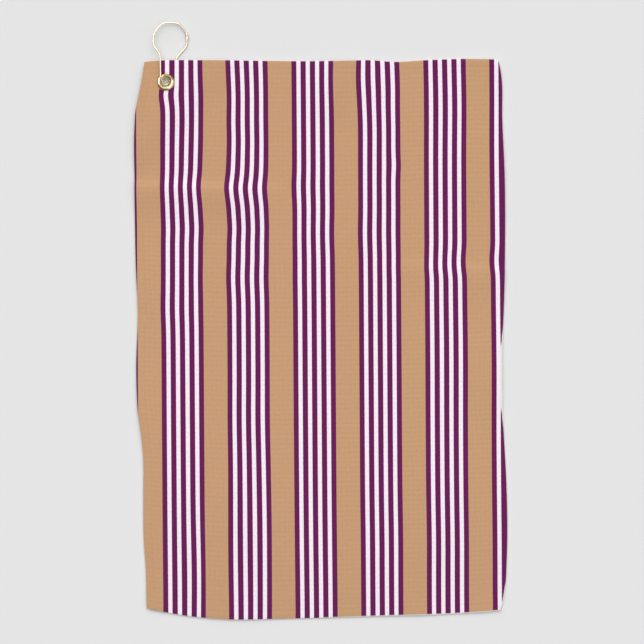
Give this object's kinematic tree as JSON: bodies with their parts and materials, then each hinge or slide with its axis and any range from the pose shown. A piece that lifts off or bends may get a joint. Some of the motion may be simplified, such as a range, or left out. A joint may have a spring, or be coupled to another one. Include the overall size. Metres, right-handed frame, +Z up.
{
  "type": "golf towel",
  "caption": "Rectangular waffle-weave golf towel laid flat, with turned hems, a brass corner grommet and a pear-shaped wire hook with a sprung gate.",
  "frame": {"origin": "on the surface the towel lies on, under the middle of the whole object's box", "axes": "+X to the right of the towel seen from its printed face, +Y towards its top edge and the hook, +Z up out of the printed face"},
  "size_m": [0.4081, 0.6539, 0.0092],
  "materials": {
    "printed_cloth": "striped waffle-weave microfibre, tan, purple and white",
    "hem_cloth": "white unprinted back of the cloth",
    "sewing_thread": "polyester thread",
    "grommet_brass": "polished, lacquered",
    "hook_gold": "bright pale gold plating"
  },
  "bodies": {
    "towel": {"towel_cloth": "printed_cloth", "top_hem": "hem_cloth", "bottom_hem": "hem_cloth", "left_hem": "hem_cloth", "right_hem": "hem_cloth", "hem_needle_thread": "sewing_thread", "hem_bobbin_thread": "sewing_thread", "grommet_eyelet": "grommet_brass", "grommet_washer": "grommet_brass"},
    "hook": {"hook_wire": "hook_gold", "latch_keeper": "hook_gold"},
    "gate": {"hook_gate_arm": "hook_gold"}
  },
  "joints": [
    {"name": "hook_swing", "type": "hinge", "parent": "towel", "child": "hook", "pos_m": [-0.1694, 0.2598, 0.0045], "axis": [0, 0, 1], "range_deg": [-30, 115]},
    {"name": "gate_open", "type": "hinge", "parent": "hook", "child": "gate", "pos_m": [-0.15737, 0.28716, 0.001], "axis": [0, 0, 1], "range_deg": [0, 28], "stiffness_Nm_per_rad": 0.1}
  ]
}
